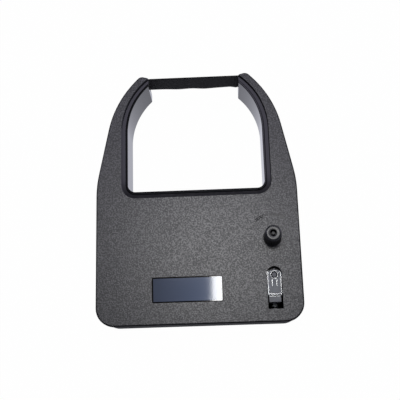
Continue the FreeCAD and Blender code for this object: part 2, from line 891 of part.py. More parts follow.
def make_drive_knob():
    bottom = knob_bottom()
    top = bottom + knob_height
    bevel_bottom = top - knob_bevel
    shoulder = knob_radius - knob_taper
    ring = shoulder - knob_bevel_width
    body = Part.makeCone(knob_radius, shoulder, bevel_bottom - bottom, point(0, 0, bottom))
    bevel = Part.makeCone(shoulder, ring, knob_bevel, point(0, 0, bevel_bottom))
    knob = body.fuse(bevel)
    lean = math.atan(knob_taper / (bevel_bottom - bottom))
    flute_length = knob_height - knob_flute_end
    flutes = []
    for k in range(knob_flute_count):
        flute = Part.makeCylinder(knob_flute_radius, flute_length, point(knob_radius, 0, bottom))
        flute.rotate(point(knob_radius, 0, bottom), point(0, 1, 0), -math.degrees(lean))
        flute.rotate(point(0, 0, 0), point(0, 0, 1), 360.0 * k / knob_flute_count)
        flutes.append(flute)
    knob = knob.cut(Part.makeCompound(flutes))
    knob.translate(point(drive_x, drive_y))
    bore = cylinder(drive_shaft_radius + press_fit_gap, bottom - 1.0, knob_shaft_top(), drive_x, drive_y)
    flat = shaft_flat(press_fit_gap, bottom - 2.0, knob_shaft_top() + 1.0)
    hole = cylinder(knob_hole_radius, knob_shaft_top() - 1.0, top + 1.0, drive_x, drive_y)
    return knob.cut(bore.cut(flat)).cut(hole).removeSplitter()


def make_idler_roller():
    core_radius = idler_tyre_radius - tyre_wall - press_fit_gap
    gear = make_gear(idler_teeth, 90.0 + 180.0 / idler_teeth, idler_x, idler_y)
    core = cylinder(core_radius, gear_top, idler_core_top(), idler_x, idler_y)
    bore = cylinder(idler_pin_radius + running_fit, 0.0, case_height, idler_x, idler_y)
    return gear.fuse(core).cut(bore).removeSplitter()


def idler_core_top():
    return cover_bottom - part_gap - slide_flange_thickness - moving_gap


def make_idler_pin():
    top = case_height - slide_top_drop - idler_pin_recess
    return cylinder(idler_pin_radius, floor_skin + moving_gap, top, idler_x, idler_y)


def make_slide():
    top = case_height - slide_top_drop
    half = slide_width / 2.0
    chamfer = slide_chamfer
    flange_top = cover_bottom - part_gap
    flange_bottom = flange_top - slide_flange_thickness
    plate_corners = [
        point(slot_mid_x - half, slide_step_y),
        point(slot_mid_x + half, slide_step_y),
        point(slot_mid_x + half, slide_front_y - chamfer),
        point(slot_mid_x + half - chamfer, slide_front_y),
        point(slot_mid_x - half + chamfer, slide_front_y),
        point(slot_mid_x - half, slide_front_y - chamfer),
    ]
    plate = raised(polygon(plate_corners), flange_bottom, top)
    tab_half = slide_tab_width / 2.0
    tab = block(
        slot_mid_x - tab_half, slot_mid_x + tab_half, slide_rear_y, slide_step_y,
        flange_bottom, case_height - slide_tab_drop,
    )
    flange_half = slide_flange_width / 2.0
    flange = block(
        slot_mid_x - flange_half, slot_mid_x + flange_half, slide_step_y, slide_front_y,
        flange_bottom, flange_top,
    )
    leg_half = slide_leg_width / 2.0
    leg_front = idler_y - idler_tyre_radius - moving_gap
    leg = block(
        slot_mid_x - leg_half, slot_mid_x + leg_half, slide_rear_y, leg_front,
        flange_bottom - slide_leg_height, flange_bottom,
    )
    peg_start = point(slot_mid_x, slide_rear_y + peg_root, spring_z)
    peg = Part.makeCylinder(peg_radius, slide_peg_length + peg_root, peg_start, point(0, -1, 0))
    ring = tube(
        idler_boss_radius, idler_pin_radius + press_fit_gap, top, top + slide_rib_height, idler_x, idler_y
    )
    ribs = []
    rib_front_y = idler_y - idler_boss_radius - slide_rib_gap
    rib_rear_y = rib_front_y - slide_rib_length
    for side in (-0.5, 0.5):
        middle = slot_mid_x + side * slide_rib_spacing
        ribs.append(
            block(
                middle - slide_rib_width / 2.0, middle + slide_rib_width / 2.0,
                rib_rear_y, rib_front_y, top, top + slide_rib_height,
            )
        )
    nib = block(
        slot_mid_x - slide_nib_width / 2.0, slot_mid_x + slide_nib_width / 2.0,
        slide_front_y - slide_nib_width, slide_front_y + slide_nib_length,
        flange_bottom, top - slide_nib_drop,
    )
    slide = plate.multiFuse([tab, flange, leg, peg, ring, nib] + ribs)
    bore = cylinder(idler_pin_radius + press_fit_gap, 0.0, case_height + 1.0, idler_x, idler_y)
    return slide.cut(bore).removeSplitter()


def make_spring():
    """Coil spring lying along Y between the rear wall and the carrier."""
    start_y = wall_inner + spring_wire / 2.0
    end_y = slide_rear_y - spring_wire / 2.0
    length = end_y - start_y
    helix = Part.makeLongHelix(length / spring_turns, length, spring_radius)
    section = Part.Wire(
        Part.makeCircle(spring_wire / 2.0, point(spring_radius, 0, 0), point(0, 1, 0))
    )
    coil = Part.Wire(helix.Edges).makePipeShell([section], True, True)
    coil.rotate(point(0, 0, 0), point(1, 0, 0), -90.0)
    coil.translate(point(slot_mid_x, start_y, spring_z))
    return coil


def make_guide_roller():
    barrel_top = cover_bottom - moving_gap
    bottom = floor_thickness + pin_boss_height + guide_foot_gap
    flange_top = min(bottom + guide_flange, ribbon_bottom - moving_gap)
    barrel = cylinder(guide_radius, bottom, barrel_top, guide_x, guide_y)
    flange = cylinder(guide_flange_radius, bottom, flange_top, guide_x, guide_y)
    bore = cylinder(guide_pin_radius + running_fit, 0.0, case_height, guide_x, guide_y)
    return barrel.fuse(flange).cut(bore).removeSplitter()


def make_guide_pin():
    top = cover_bottom + pin_socket_depth
    return cylinder(guide_pin_radius, guide_pin_bottom(), top, guide_x, guide_y)


def make_tip_pin(side):
    bottom = floor_thickness - pin_socket_depth
    return cylinder(tip_pin_radius, bottom, cover_bottom + pin_socket_depth, side * tip_pin_x, tip_pin_y)


def make_brake_leaf():
    """Bent steel strip: straight where it is gripped, then leaning towards the ribbon."""
    face = brake_leaf_face(brake_leaf_line(), brake_leaf_thickness / 2.0)
    bottom = brake_leaf_bottom()
    return raised(face, bottom, bottom + brake_leaf_height)


def make_brake_pad():
    near = ribbon_thickness / 2.0 + part_gap
    places = [(y, near + brake_pad_thickness / 2.0) for y, near_leaf in brake_leaf_line()[2:]]
    places[1] = (brake_pad_y - brake_pad_length / 2.0, places[1][1])
    bottom = ribbon_bottom + brake_pad_edge
    return raised(brake_leaf_face(places, brake_pad_thickness / 2.0), bottom, bottom + brake_pad_height)


def make_stripper():
    """Plate in the gap of the inner wall, with a slit and two fingers that lift the ribbon off."""
    left = partition_x
    right = partition_x + partition_thickness
    reach = right + stripper_reach
    rear = stripper_rear_y + press_fit_gap
    front = stripper_front_y - press_fit_gap
    high = cover_bottom - part_gap
    plate = block(left, right, rear, front, floor_thickness, high)
    fingers = []
    for side in (-1.0, 1.0):
        root = nip_y + side * stripper_slit / 2.0
        corners = [
            point(left, root),
            point(reach, root),
            point(reach, root + side * stripper_fin_end),
            point(left, root + side * stripper_fin),
        ]
        fingers.append(raised(polygon(corners), gear_top + moving_gap, high))
    slit = block(
        left - 1.0, reach + 1.0, nip_y - stripper_slit / 2.0, nip_y + stripper_slit / 2.0,
        ribbon_bottom - stripper_slit_margin, ribbon_top + stripper_slit_margin,
    )
    return plate.multiFuse(fingers).cut(slit).removeSplitter()


def label_face(margin):
    left = label_left - margin
    right = label_left + label_length + margin
    rear = label_rear - margin
    front = label_rear + label_width + margin
    corner = label_corner + margin
    return rounded_face(
        [(left, rear, corner), (right, rear, corner), (right, front, corner), (left, front, corner)]
    )


def label_recess():
    bottom = case_height - label_recess_depth
    return raised(label_face(label_recess_margin), bottom, case_height + 1.0)


def make_label():
    bottom = case_height - label_recess_depth
    return raised(label_face(0.0), bottom, bottom + label_thickness)


def make_all():
    return {
        "top_cover": make_top_cover(),
        "bottom_case": make_bottom_case(),
        "ribbon": make_ribbon(),
        "drive_roller": make_drive_roller(),
        "drive_tyre": make_tyre(drive_tyre_radius, ribbon_top, drive_x, drive_y),
        "drive_knob": make_drive_knob(),
        "drive_washer": make_drive_washer(),
        "idler_roller": make_idler_roller(),
        "idler_tyre": make_tyre(idler_tyre_radius, idler_core_top(), idler_x, idler_y),
        "idler_pin": make_idler_pin(),
        "idler_slide": make_slide(),
        "slide_spring": make_spring(),
        "guide_roller": make_guide_roller(),
        "guide_roller_pin": make_guide_pin(),
        "left_tip_pin": make_tip_pin(-1.0),
        "right_tip_pin": make_tip_pin(1.0),
        "brake_leaf": make_brake_leaf(),
        "brake_pad": make_brake_pad(),
        "ribbon_stripper": make_stripper(),
        "label": make_label(),
    }


def main():
    os.makedirs("parts", exist_ok=True)
    shapes = make_all()
    middle_y = outline_face().optimalBoundingBox(False, False).YMax / 2.0
    print("middle of the length", round(middle_y, 4))
    for name, shape in shapes.items():
        shape.translate(point(0.0, -middle_y))
        shape.exportStep("parts/" + name + ".step")
        print(name, len(shape.Solids), shape.isValid(), round(shape.Volume, 2))


main()
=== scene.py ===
import json
import math

import bmesh
import bpy
from mathutils import Matrix, Vector


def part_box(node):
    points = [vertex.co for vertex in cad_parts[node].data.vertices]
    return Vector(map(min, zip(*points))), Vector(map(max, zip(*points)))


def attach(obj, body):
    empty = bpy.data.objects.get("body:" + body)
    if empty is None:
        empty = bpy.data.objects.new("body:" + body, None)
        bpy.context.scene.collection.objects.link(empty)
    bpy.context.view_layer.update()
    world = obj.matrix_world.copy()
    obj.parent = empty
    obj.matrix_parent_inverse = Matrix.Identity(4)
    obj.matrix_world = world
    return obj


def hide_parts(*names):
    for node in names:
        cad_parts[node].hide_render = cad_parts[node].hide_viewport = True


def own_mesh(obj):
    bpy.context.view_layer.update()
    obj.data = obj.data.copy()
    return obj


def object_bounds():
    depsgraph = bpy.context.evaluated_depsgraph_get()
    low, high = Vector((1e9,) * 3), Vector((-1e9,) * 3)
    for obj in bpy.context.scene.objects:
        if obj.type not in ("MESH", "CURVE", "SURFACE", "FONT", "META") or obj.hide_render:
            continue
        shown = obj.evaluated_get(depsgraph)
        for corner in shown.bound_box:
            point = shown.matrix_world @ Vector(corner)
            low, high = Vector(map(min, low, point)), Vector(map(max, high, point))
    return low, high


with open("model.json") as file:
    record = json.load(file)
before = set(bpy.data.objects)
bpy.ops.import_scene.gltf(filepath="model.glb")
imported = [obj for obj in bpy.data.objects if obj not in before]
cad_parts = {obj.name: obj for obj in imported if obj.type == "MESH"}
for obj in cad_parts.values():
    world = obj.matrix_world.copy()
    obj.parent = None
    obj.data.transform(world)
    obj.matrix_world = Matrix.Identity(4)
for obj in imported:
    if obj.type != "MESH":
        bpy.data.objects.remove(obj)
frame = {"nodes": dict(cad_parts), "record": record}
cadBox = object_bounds()
nodes = frame["nodes"]
mm = 0.001
weld = 0.001 * mm  # points closer than this are one point
rearY = cadBox[0].y  # the rear edge, from which every y below is counted in mm
driveX = 34.2  # the drive, the slide, its spring and its axle share this x, in mm
white = (1.0, 1.0, 1.0, 1.0)
styreneIor = 1.59
socketNames = {
    "colour": "Base Color",
    "roughness": "Roughness",
    "metallic": "Metallic",
    "ior": "IOR",
    "specular": "Specular IOR Level",
    "sheen": "Sheen Weight",
    "sheenRoughness": "Sheen Roughness",
    "transmission": "Transmission Weight",
}


def linear(hexColour):
    # sRGB hex to the linear colour that the shaders want
    parts = [int(hexColour[i:i + 2], 16) / 255 for i in (1, 3, 5)]
    straight = [p / 12.92 if p <= 0.04045 else ((p + 0.055) / 1.055) ** 2.4 for p in parts]
    return tuple(straight) + (1.0,)


def at(x, y, z=0.0):
    # millimetres from the rear edge to the frame's metres
    return Vector((x * mm, rearY + y * mm, z * mm))


def bodyOf(nodeName):
    bodies = frame["record"]["behaviour"]["bodies"]
    return next(body for body, members in bodies.items() if nodeName in members)


def addNode(tree, kind, inputs=None, **settings):
    # inputs are values, nodes (their first output) or (node, output) pairs
    node = tree.nodes.new(kind)
    for name, value in settings.items():
        setattr(node, name, value)
    for key, value in (inputs or {}).items():
        if isinstance(value, bpy.types.Node):
            value = (value, 0)
        if isinstance(value, tuple) and isinstance(value[0], bpy.types.Node):
            tree.links.new(value[0].outputs[value[1]], node.inputs[key])
        else:
            node.inputs[key].default_value = value
    return node


def calc(tree, operation, *values):
    return addNode(tree, "ShaderNodeMath", dict(enumerate(values)), operation=operation)


def calcVector(tree, operation, *values):
    return addNode(tree, "ShaderNodeVectorMath", dict(enumerate(values)), operation=operation)


def split(tree, vector):
    return addNode(tree, "ShaderNodeSeparateXYZ", {"Vector": vector})


def compare(tree, operation, first, second):
    return addNode(tree, "FunctionNodeCompare", {0: first, 1: second}, operation=operation)


def combine(tree, operation, first, second):
    return addNode(tree, "FunctionNodeBooleanMath", {0: first, 1: second}, operation=operation)


def setRamp(tree, source, stops):
    # stops are (position, grey or colour)
    node = addNode(tree, "ShaderNodeValToRGB", {"Fac": source})
    ramp = node.color_ramp
    while len(ramp.elements) > 1:
        ramp.elements.remove(ramp.elements[-1])
    for i, (position, colour) in enumerate(stops):
        element = ramp.elements[0] if i == 0 else ramp.elements.new(position)
        element.position = position
        element.color = colour if isinstance(colour, tuple) else (colour, colour, colour, 1.0)
    return node


def newMaterial(name, **sockets):
    # a Principled shader whose constant values sit on its own sockets
    material = bpy.data.materials.new(name)
    material.use_nodes = True
    tree = material.node_tree
    shader = tree.nodes["Principled BSDF"]
    for key, value in sockets.items():
        shader.inputs[socketNames[key]].default_value = value
    return material, tree, shader


def objectPosition(tree, size, squeeze=(1.0, 1.0, 1.0)):
    # Object coordinates counted in patterns of the given size in mm
    place = addNode(tree, "ShaderNodeTexCoord")
    scale = [s / (size * mm) for s in squeeze]
    return addNode(tree, "ShaderNodeMapping", {"Vector": (place, "Object"), "Scale": scale})


def noise(tree, size, detail, roughness=0.5, squeeze=(1.0, 1.0, 1.0)):
    return addNode(tree, "ShaderNodeTexNoise", {
        "Vector": objectPosition(tree, size, squeeze), "Scale": 1.0, "Detail": detail,
        "Roughness": roughness})


def remap(tree, source, low, high, start=0.0, end=1.0):
    return addNode(tree, "ShaderNodeMapRange", {
        "Value": source, "From Min": start, "From Max": end, "To Min": low, "To Max": high})


def wire(tree, node, output, shader, socket):
    tree.links.new(node.outputs[output], shader.inputs[socket])


def bumpFrom(tree, shader, height, depth, strength):
    # depth in mm is how far the height's full range reaches
    bump = addNode(tree, "ShaderNodeBump", {
        "Height": height, "Distance": depth * mm, "Strength": strength})
    wire(tree, bump, "Normal", shader, "Normal")


def meshPiece(name, points, faces, material):
    mesh = bpy.data.meshes.new(name)
    mesh.from_pydata([tuple(p) for p in points], [], faces)
    mesh.materials.append(material)
    return newPiece(name, mesh)


def newPiece(name, mesh, smooth=True):
    mesh.polygons.foreach_set("use_smooth", [smooth] * len(mesh.polygons))
    piece = bpy.data.objects.new(name, mesh)
    bpy.context.scene.collection.objects.link(piece)
    return piece


def applied(piece):
    # the evaluated mesh takes the place of the live modifiers
    graph = bpy.context.evaluated_depsgraph_get()
    mesh = bpy.data.meshes.new_from_object(piece.evaluated_get(graph))
    piece.modifiers.clear()
    piece.data = mesh
    return piece


def newTree(name, inputs):
    # a Geometry Nodes tree with a geometry input, named sizes and a geometry output
    tree = bpy.data.node_groups.new(name, "GeometryNodeTree")
    tree.interface.new_socket("Geometry", in_out="INPUT", socket_type="NodeSocketGeometry")
    for label, kind in inputs.items():
        tree.interface.new_socket(label, in_out="INPUT", socket_type="NodeSocket" + kind)
    tree.interface.new_socket("Geometry", in_out="OUTPUT", socket_type="NodeSocketGeometry")
    return tree, addNode(tree, "NodeGroupInput")


def dress(tree, geometry, material, faces=True):
    return addNode(tree, "GeometryNodeSetMaterial", {
        "Geometry": geometry, "Selection": faces, "Material": material})


def endTree(tree, geometry, given):
    real = addNode(tree, "GeometryNodeRealizeInstances", {"Geometry": geometry})
    dressed = dress(tree, real, (given, "Material"))
    addNode(tree, "NodeGroupOutput", {"Geometry": dressed})


def useTree(piece, tree, values):
    modifier = piece.modifiers.new(tree.name, "NODES")
    modifier.node_group = tree
    for item in tree.interface.items_tree:
        if item.in_out == "INPUT" and item.name in values:
            modifier[item.identifier] = values[item.name]


def makeGrainedStyrene():
    # high impact polystyrene out of a spark eroded mould: matt and finely pitted
    size = {"pit": 0.64, "fine": 0.42, "depth": 0.03, "patch": 9.0, "rub": 0.02}
    material, tree, shader = newMaterial("sparkErodedPolystyrene", ior=styreneIor)
    pits = noise(tree, size["pit"], 2.0)
    cells = addNode(tree, "ShaderNodeTexVoronoi", {
        "Vector": objectPosition(tree, size["fine"]), "Scale": 1.0,
        "Smoothness": 0.8}, feature="SMOOTH_F1")
    height = calc(tree, "SUBTRACT", (pits, "Fac"), (cells, "Distance"))
    bumpFrom(tree, shader, height, size["depth"], 1.0)
    speckle = setRamp(tree, (pits, "Fac"), [
        (0.36, linear("#101011")), (0.5, linear("#2B2B2C")), (0.64, linear("#5B5B5B"))])
    wire(tree, speckle, "Color", shader, "Base Color")
    rub = remap(tree, (noise(tree, size["patch"], 3.0), "Fac"), -size["rub"], size["rub"])
    dull = remap(tree, (pits, "Fac"), 0.38, 0.27, 0.35, 0.65)
    wire(tree, calc(tree, "ADD", dull, rub), "Value", shader, "Roughness")
    return material


def makePolishedStyrene(name, colour):
    # the same polystyrene off a polished mould, with faint flow lines and a little handling wear
    size = {"flow": 14.0, "stretch": 0.35, "rub": 2.5, "depth": 0.003}
    material, tree, shader = newMaterial(name, colour=linear(colour), ior=styreneIor)
    flow = noise(tree, size["flow"], 4.0, squeeze=(1.0, 1.0, size["stretch"]))
    rub = noise(tree, size["rub"], 5.0, 0.7)
    wire(tree, remap(tree, (rub, "Fac"), 0.03, 0.07, 0.3, 0.7), "Result", shader, "Roughness")
    bumpFrom(tree, shader, (flow, "Fac"), size["depth"], 0.5)
    return material


def makeErodedWall():
    # the same polystyrene with a light erosion that keeps the outer walls from shining
    size = {"pit": 0.3, "depth": 0.03}
    material, tree, shader = newMaterial(
        "lightlyErodedPolystyrene", colour=linear("#0B0B0D"), roughness=0.75, ior=styreneIor,
        specular=0.15)
    bumpFrom(tree, shader, (noise(tree, size["pit"], 3.0, 0.6), "Fac"), size["depth"], 0.7)
    return material


def makeSatinStyrene():
    # satin black polystyrene of the knob, a little rubbed on its ridges
    size = {"wear": 0.6, "depth": 0.006}
    material, tree, shader = newMaterial("satinPolystyrene", ior=styreneIor)
    wear = noise(tree, size["wear"], 4.0, 0.65)
    colour = setRamp(tree, (wear, "Fac"), [(0.35, linear("#09090B")), (0.7, linear("#141416"))])
    wire(tree, colour, "Color", shader, "Base Color")
    wire(tree, remap(tree, (wear, "Fac"), 0.25, 0.33), "Result", shader, "Roughness")
    bumpFrom(tree, shader, (wear, "Fac"), size["depth"], 0.5)
    return material


def makePlain(name, colour, roughness, grain, depth, **sockets):
    # a moulded, ground or pressed surface, with a grain of the given size and depth in mm
    spread, darker = 0.08, 0.82
    material, tree, shader = newMaterial(name, **sockets)
    marks = noise(tree, grain, 4.0, 0.6)
    dark = tuple(c * darker for c in linear(colour)[:3]) + (1.0,)
    tone = setRamp(tree, (marks, "Fac"), [(0.35, dark), (0.65, linear(colour))])
    wire(tree, tone, "Color", shader, "Base Color")
    dull = remap(tree, (marks, "Fac"), roughness - spread, roughness + spread)
    wire(tree, dull, "Result", shader, "Roughness")
    bumpFrom(tree, shader, (marks, "Fac"), depth, 0.7)
    return material


def makeClearStyrene():
    # clear polystyrene: frosted in its field, and polished along its border and on its ribs
    size = {"step": 12.2, "field": 2.65, "border": 0.6, "ribs": 19.4, "haze": 1.6, "polish": 0.1}
    material, tree, shader = newMaterial(
        "clearPolystyrene", colour=linear("#A9B1BB"), transmission=0.75, ior=styreneIor)
    spot = split(tree, (addNode(tree, "ShaderNodeTexCoord"), "Object"))
    reach = calc(tree, "ABSOLUTE", calc(tree, "SUBTRACT", (spot, "X"), driveX * mm))
    side = calc(tree, "GREATER_THAN", reach, size["field"] * mm)
    ribs = calc(tree, "GREATER_THAN", (spot, "Z"), size["ribs"] * mm)
    step = calc(tree, "COMPARE", (spot, "Y"), at(0.0, size["step"]).y, size["border"] * mm)
    shiny = calc(tree, "MAXIMUM", calc(tree, "MAXIMUM", side, ribs), step)
    field = remap(tree, (noise(tree, size["haze"], 3.0), "Fac"), 0.3, 0.42)
    dull = addNode(tree, "ShaderNodeMix", {
        "Factor": shiny, "A": (field, "Result"), "B": size["polish"]}, data_type="FLOAT")
    wire(tree, dull, "Result", shader, "Roughness")
    return material


def makeLabelFilm():
    # bare polyester film, mirror smooth on top, over a blue grey ink, with a thin dark border
    size = {"edge": 0.35, "peel": 3.0, "depth": 0.003}
    low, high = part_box("label")
    material, tree, shader = newMaterial("glossyPolyesterFilm", roughness=0.05, ior=1.64)
    spot = split(tree, (addNode(tree, "ShaderNodeTexCoord"), "Object"))
    insides = []
    for axis, first, last in (("X", low.x, high.x), ("Y", low.y, high.y)):
        offset = calc(tree, "SUBTRACT", (spot, axis), (first + last) / 2)
        half = (last - first) / 2 - size["edge"] * mm
        insides.append(calc(tree, "LESS_THAN", calc(tree, "ABSOLUTE", offset), half))
    # painted reflection: the blue grey ink is painted lighter from the left end to the right, most
    # in its last quarter
    inkAndPaintedReflection = setRamp(tree, remap(tree, (spot, "X"), 0.0, 1.0, low.x, high.x), [
        (0.0, linear("#555E6C")), (0.75, linear("#738196")), (1.0, linear("#8593A8"))])
    colour = addNode(tree, "ShaderNodeMix", {
        "Factor": calc(tree, "MULTIPLY", *insides), "A": linear("#0C0C0E"), "B": inkAndPaintedReflection},
        data_type="RGBA")
    wire(tree, colour, "Result", shader, "Base Color")
    bumpFrom(tree, shader, (noise(tree, size["peel"], 2.0), "Fac"), size["depth"], 0.5)
    return material


def makeInkedCloth():
    # woven nylon soaked with ink. Its threads are 0.1 mm apart and drawn wider, so that they show
    size = {"thread": 0.5, "depth": 0.05, "blotScale": 0.35}
    waveStep = math.tau / 20.0  # a wave texture of this scale repeats once in each unit
    material, tree, shader = newMaterial(
        "inkedNylonWeave", roughness=0.85, ior=1.5, specular=0.3, sheen=0.04, sheenRoughness=0.4)
    cloth = addNode(tree, "ShaderNodeUVMap", uv_map="cloth")
    threads = [addNode(tree, "ShaderNodeTexWave", {
        "Vector": cloth, "Scale": waveStep / size["thread"], "Distortion": 0.6, "Detail": 1.0,
        "Detail Scale": 2.0}, wave_type="BANDS", bands_direction=way) for way in ("X", "Y")]
    weave = calc(tree, "MAXIMUM", (threads[0], "Fac"), (threads[1], "Fac"))
    bumpFrom(tree, shader, weave, size["depth"], 0.8)
    blot = addNode(tree, "ShaderNodeTexNoise", {
        "Vector": cloth, "Scale": size["blotScale"], "Detail": 4.0})
    tone = setRamp(tree, calc(tree, "MULTIPLY", weave, (blot, "Fac")), [
        (0.1, linear("#1A1A1B")), (0.6, linear("#323233"))])
    wire(tree, tone, "Color", shader, "Base Color")
    return material


print("making finishes")
grained = makeGrainedStyrene()
polished = makePolishedStyrene("polishedPolystyrene", "#09090B")
coverGloss = makePolishedStyrene("polishedCoverPolystyrene", "#2E2D31")
eroded = makeErodedWall()
satin = makeSatinStyrene()
clear = makeClearStyrene()
film = makeLabelFilm()
inked = makeInkedCloth()
# name, colour, roughness, grain and depth in mm
acetal = makePlain("mouldedAcetal", "#1C1C1E", 0.36, 1.5, 0.004, ior=1.48)
rubber = makePlain("mouldedRubber", "#161617", 0.78, 0.4, 0.02, ior=1.52)
nylon = makePlain("punchedNylon", "#D2D1CC", 0.45, 0.8, 0.006, ior=1.53)
pinSteel = makePlain("groundSteel", "#7C7D80", 0.58, 0.3, 0.002, metallic=1.0)
springSteel = makePlain("drawnSpringSteel", "#D6D7DA", 0.4, 0.25, 0.002, metallic=1.0)
# near white and barely clear: painted highlight for the slide's sloping and upright faces,
# standing in for the light its edges gather
paintedEdgeHighlight = makePlain(
    "paintedEdgeHighlightPolystyrene", "#E6E9ED", 0.3, 0.5, 0.004, ior=styreneIor, transmission=0.2)
# a dark steel for the axle's chamfer: painted shade
paintedShadeSteel = makePlain("paintedShadeChamferSteel", "#1A1A1C", 0.5, 0.3, 0.002, metallic=1.0)
feltWool = makePlain("pressedWoolFelt", "#BEB9AC", 0.86, 0.35, 0.08, ior=1.5, sheen=0.6)


def makeCreaseTree():
    # joined triangles, soft across gentle folds and sharp across steep ones
    tree, given = newTree("softenGentleFolds", {"Crease": "Float"})
    joined = addNode(tree, "GeometryNodeMergeByDistance", {"Geometry": given, "Distance": weld})
    fold = addNode(tree, "GeometryNodeInputMeshEdgeAngle")
    gentle = compare(tree, "LESS_THAN", fold, (given, "Crease"))
    faces = addNode(tree, "GeometryNodeSetShadeSmooth", {"Geometry": joined, "Shade Smooth": True})
    edges = addNode(tree, "GeometryNodeSetShadeSmooth", {
        "Geometry": faces, "Shade Smooth": gentle}, domain="EDGE")
    addNode(tree, "NodeGroupOutput", {"Geometry": edges})
    return tree


def makeCoverTree():
    # grain on the flat top, satin on the floor of the arrow sunk round the axle. The arrow's
    # walls and its tail keep the matt finish below
    tree, given = newTree("grainedTop", {
        "Level": "Float", "Axle": "Vector", "Arrow": "Float", "Deep": "Float", "Tail": "Float",
        "Up": "Float", "Satin": "Material", "Grain": "Material"})
    place = addNode(tree, "GeometryNodeInputPosition")
    parts = split(tree, place)
    facing = split(tree, addNode(tree, "GeometryNodeInputNormal"))
    spoke = calcVector(tree, "DISTANCE", place, (given, "Axle"))
    inArrow = compare(tree, "GREATER_THAN", (parts, "Z"), (given, "Deep"))
    nearAxle = compare(tree, "LESS_THAN", (spoke, "Value"), (given, "Arrow"))
    ahead = compare(tree, "GREATER_THAN", (parts, "X"), (given, "Tail"))
    level = compare(tree, "GREATER_THAN", (facing, "Z"), (given, "Up"))
    sunk = combine(tree, "AND", combine(tree, "AND", inArrow, nearAxle), ahead)
    pointed = dress(tree, given, (given, "Satin"), combine(tree, "AND", sunk, level))
    onTop = compare(tree, "GREATER_THAN", (parts, "Z"), (given, "Level"))
    topped = dress(tree, pointed, (given, "Grain"), onTop)
    addNode(tree, "NodeGroupOutput", {"Geometry": topped})
    return tree


def makeCoreTree():
    # polished where the window's core formed the wall, and eroded everywhere else. The faces on
    # the given side that turn the given way are eroded too, as painted shade: a dull dark rim
    # where shade falls
    tree, given = newTree("polishedWindowCore", {
        "Arch": "Vector", "Core": "Float", "Rear": "Float", "Side": "Float", "Facing": "Float",
        "Limit": "Float", "Material": "Material", "Polish": "Material"})
    place = addNode(tree, "GeometryNodeInputPosition")
    parts = split(tree, calcVector(tree, "SUBTRACT", place, (given, "Arch")))
    ahead = calc(tree, "MAXIMUM", (parts, "Y"), 0.0)
    flat = addNode(tree, "ShaderNodeCombineXYZ", {"X": (parts, "X"), "Y": ahead})
    reach = calcVector(tree, "LENGTH", flat)
    near = compare(tree, "LESS_THAN", (reach, "Value"), (given, "Core"))
    front = compare(tree, "GREATER_THAN", (parts, "Y"), (given, "Rear"))
    facing = split(tree, addNode(tree, "GeometryNodeInputNormal"))
    across = calc(tree, "MULTIPLY", (parts, "X"), (given, "Side"))
    rise = calc(tree, "MULTIPLY", (facing, "Z"), (given, "Facing"))
    aside = compare(tree, "GREATER_THAN", across, 1.0)
    turned = compare(tree, "GREATER_THAN", rise, (given, "Limit"))
    # painted shade: this rim takes the dark eroded finish on one side only
    paintedShadeRim = combine(tree, "AND", aside, turned)
    shiny = combine(tree, "NIMPLY", combine(tree, "AND", near, front), paintedShadeRim)
    dressed = dress(tree, given, (given, "Material"))
    addNode(tree, "NodeGroupOutput", {"Geometry": dress(tree, dressed, (given, "Polish"), shiny)})
    return tree


print("finishing the frame's pieces")
finishes = {
    "top_cover": eroded,
    "bottom_case": eroded,
    "drive_roller": acetal,
    "drive_tyre": rubber,
    "drive_washer": nylon,
    "idler_roller": acetal,
    "idler_tyre": rubber,
    "guide_roller": acetal,
    "guide_roller_pin": pinSteel,
    "left_tip_pin": pinSteel,
    "right_tip_pin": pinSteel,
    "brake_leaf": springSteel,
    "ribbon_stripper": acetal,
    "label": film,
}
softSize = {"crease": math.radians(32.0), "weight": 90}
creaseTree = makeCreaseTree()
for nodeName, material in finishes.items():
    node = nodes[nodeName]
    node.data.materials.clear()
    node.data.materials.append(material)
    useTree(node, creaseTree, {"Crease": softSize["crease"]})
    weigh = node.modifiers.new("flatFacesStayFlat", "WEIGHTED_NORMAL")
    weigh.keep_sharp = True
    weigh.weight = softSize["weight"]

# the core's reach and rear are counted in mm from the centre of the window's arch. The painted
# shade rims, eroded and so dark, are the top of the left wall and the step of the right ledge, and
# start 20 mm from the middle
windowSize = {"archY": 92.2, "shadeRimStart": 20.0}
windowCores = {
    "bottom_case": {"reach": 33.4, "rear": -31.2, "side": -1, "up": 1.0, "polish": polished},
    "top_cover": {"reach": 36.9, "rear": -34.0, "side": 1, "up": -1.0, "polish": coverGloss},
}
levelShare = 0.9  # a face is level when this much of its normal points up
coreTree = makeCoreTree()
for nodeName, core in windowCores.items():
    useTree(nodes[nodeName], coreTree, {
        "Arch": at(0.0, windowSize["archY"]), "Core": core["reach"] * mm,
        "Rear": core["rear"] * mm, "Side": core["side"] / (windowSize["shadeRimStart"] * mm),
        "Facing": core["up"], "Limit": core["up"] * levelShare, "Material": eroded,
        "Polish": core["polish"]})
coverSize = {
    "grainLevel": 19.97, "axle": (driveX, 38.4, 20.0), "arrowReach": 12.0, "arrowFloor": 19.4,
    "arrowTail": 30.5, "arrowUp": 0.7,
}
useTree(nodes["top_cover"], makeCoverTree(), {
    "Level": coverSize["grainLevel"] * mm, "Axle": at(*coverSize["axle"]),
    "Arrow": coverSize["arrowReach"] * mm, "Deep": coverSize["arrowFloor"] * mm,
    "Tail": coverSize["arrowTail"] * mm, "Up": coverSize["arrowUp"], "Satin": satin,
    "Grain": grained})


